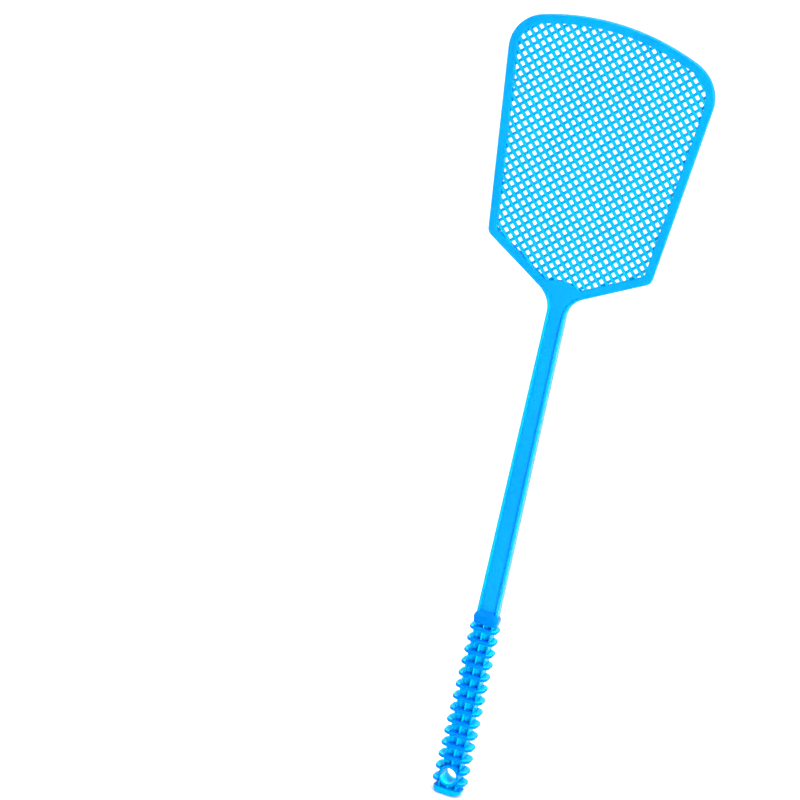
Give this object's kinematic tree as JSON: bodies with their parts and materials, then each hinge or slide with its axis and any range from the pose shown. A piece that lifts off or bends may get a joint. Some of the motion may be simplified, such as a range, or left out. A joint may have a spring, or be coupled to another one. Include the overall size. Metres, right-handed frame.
{
  "type": "fly swatter",
  "caption": "Hand fly swatter of moulded plastic: perforated flared blade on a slim channel shaft, with a finned grip and a hanging eye.",
  "frame": {"origin": "middle of the grip, on the centreline of the handle", "axes": "+Z along the length from the grip to the blade, +X across the blade, -Y out of the front face"},
  "size_m": [0.1202, 0.0132, 0.4572],
  "materials": {
    "blue_plastic": "glossy, slightly translucent sky-blue moulded plastic"
  },
  "bodies": {
    "handle": {"end_cap": "blue_plastic", "grip_collar": "blue_plastic", "grip_fin_01": "blue_plastic", "grip_fin_02": "blue_plastic", "grip_fin_03": "blue_plastic", "grip_fin_04": "blue_plastic", "grip_fin_05": "blue_plastic", "grip_fin_06": "blue_plastic", "grip_fin_07": "blue_plastic", "grip_fin_08": "blue_plastic", "grip_fin_09": "blue_plastic", "grip_fin_10": "blue_plastic", "grip_fin_11": "blue_plastic", "grip_fin_12": "blue_plastic", "grip_fin_13": "blue_plastic", "grip_fin_14": "blue_plastic", "grip_rail_left": "blue_plastic", "grip_rail_right": "blue_plastic", "grip_rib_front": "blue_plastic", "grip_rib_rear": "blue_plastic", "grip_web": "blue_plastic", "hang_boss": "blue_plastic", "shaft_flange_left": "blue_plastic", "shaft_flange_right": "blue_plastic", "shaft_web": "blue_plastic"},
    "blade": {"blade_rim": "blue_plastic", "lattice_front": "blue_plastic", "lattice_rear": "blue_plastic", "neck_web": "blue_plastic", "neck_flare_left": "blue_plastic", "neck_flare_right": "blue_plastic"}
  },
  "joints": [
    {"name": "neck_flex", "type": "hinge", "parent": "handle", "child": "blade", "pos_m": [0, 0, 0.2372], "axis": [1, 0, 0], "range_deg": [-25, 25], "stiffness_Nm_per_rad": 0.5, "deforming": ["neck_web", "neck_flare_left", "neck_flare_right"]}
  ]
}
